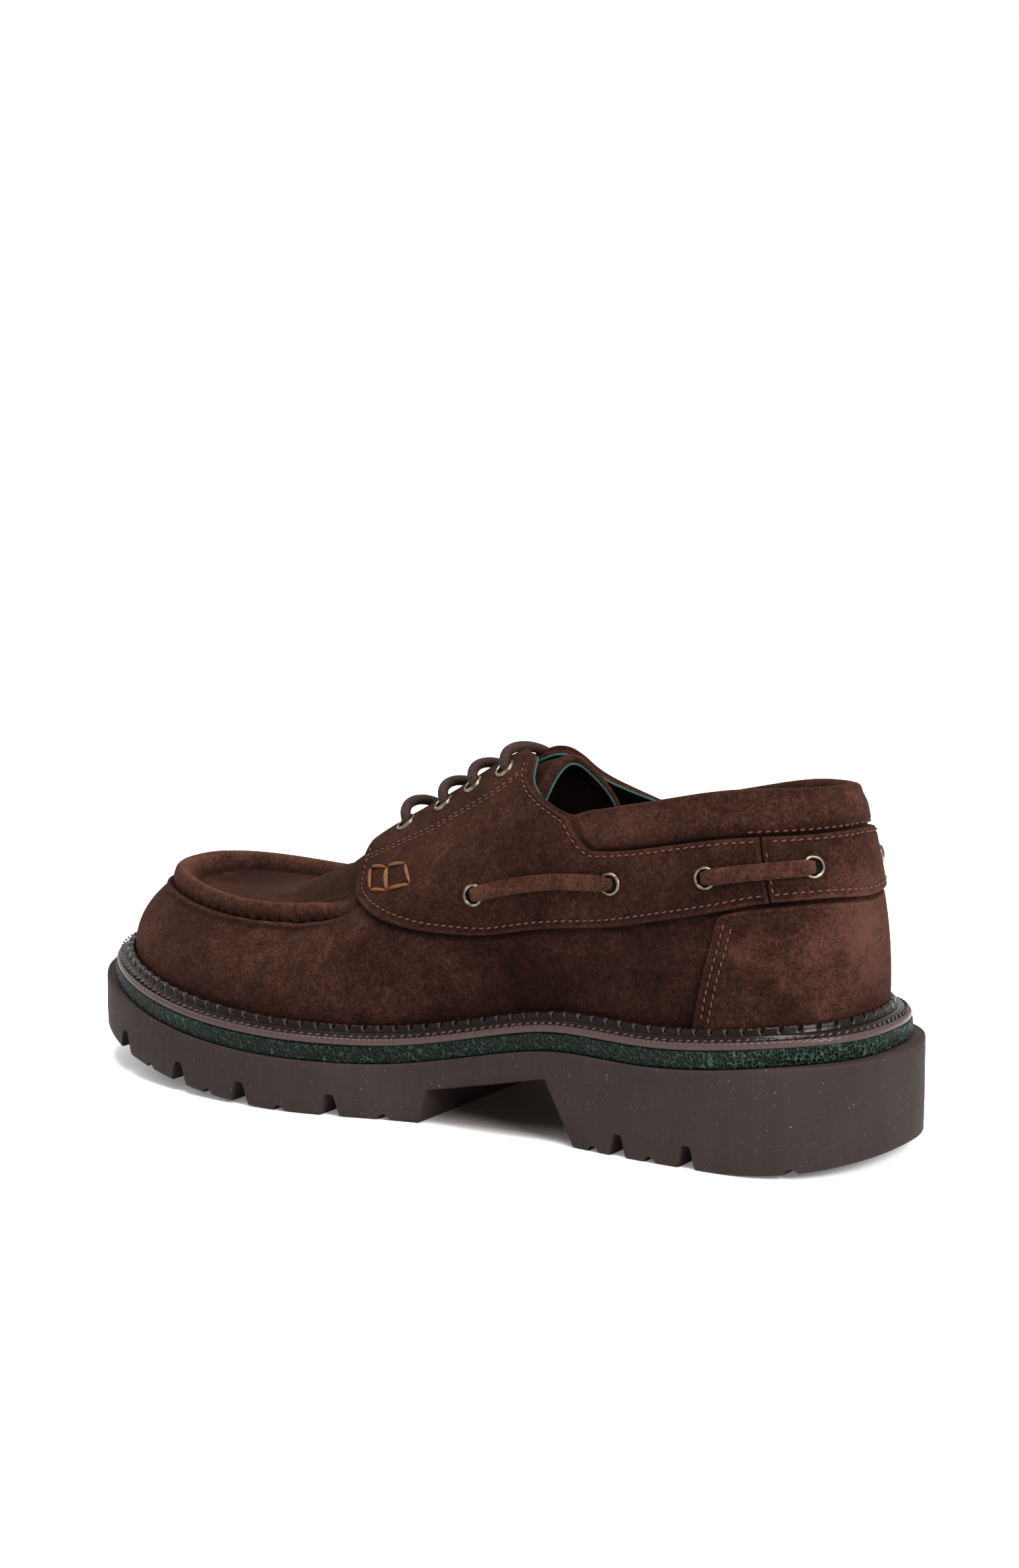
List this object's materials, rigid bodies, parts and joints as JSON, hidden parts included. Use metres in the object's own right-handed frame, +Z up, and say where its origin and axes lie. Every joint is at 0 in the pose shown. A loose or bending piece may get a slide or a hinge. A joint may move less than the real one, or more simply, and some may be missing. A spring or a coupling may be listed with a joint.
{
  "type": "laced moccasin shoe",
  "caption": "Low laced moccasin-toe shoe in brown suede: padded collar, side laces through metal eyelets, storm welt, foam midsole and lugged rubber sole.",
  "frame": {"origin": "on the ground, under the middle of the sole's box", "axes": "+Z up; the toe points along -Y and the heel along +Y; +X is the shoe's outer side"},
  "size_m": [0.115, 0.305, 0.1271],
  "materials": {
    "suede": "brushed dark brown suede",
    "lining": "dull blue-green textile lining",
    "rubber": "matt dark brown rubber",
    "foam": "open dark green foam rubber",
    "welt": "waxed dark brown leather",
    "lace": "waxed round lace",
    "brass": "antique brass"
  },
  "bodies": {
    "root": {"outsole": "rubber", "midsole": "foam", "welt": "welt", "insole": "lining", "upper": "suede", "tongue": "suede", "quarter_lateral": "suede", "quarter_medial": "suede", "heel_patch": "suede", "counter": "suede", "side_eyelet_lateral_1": "brass", "side_eyelet_lateral_2": "brass", "side_eyelet_lateral_3": "brass", "side_eyelet_lateral_4": "brass", "front_eyelet_lateral_1": "brass", "front_eyelet_lateral_2": "brass", "front_eyelet_lateral_3": "brass", "front_eyelet_lateral_4": "brass", "side_lace_lateral_rear": "lace", "side_lace_lateral_front": "lace", "side_eyelet_medial_1": "brass", "side_eyelet_medial_2": "brass", "side_eyelet_medial_3": "brass", "side_eyelet_medial_4": "brass", "front_eyelet_medial_1": "brass", "front_eyelet_medial_2": "brass", "front_eyelet_medial_3": "brass", "front_eyelet_medial_4": "brass", "side_lace_medial_rear": "lace", "side_lace_medial_front": "lace", "lace_bar_1": "lace", "lace_bar_2": "lace", "lace_bar_3": "lace", "lace_bar_4": "lace"}
  },
  "joints": []
}
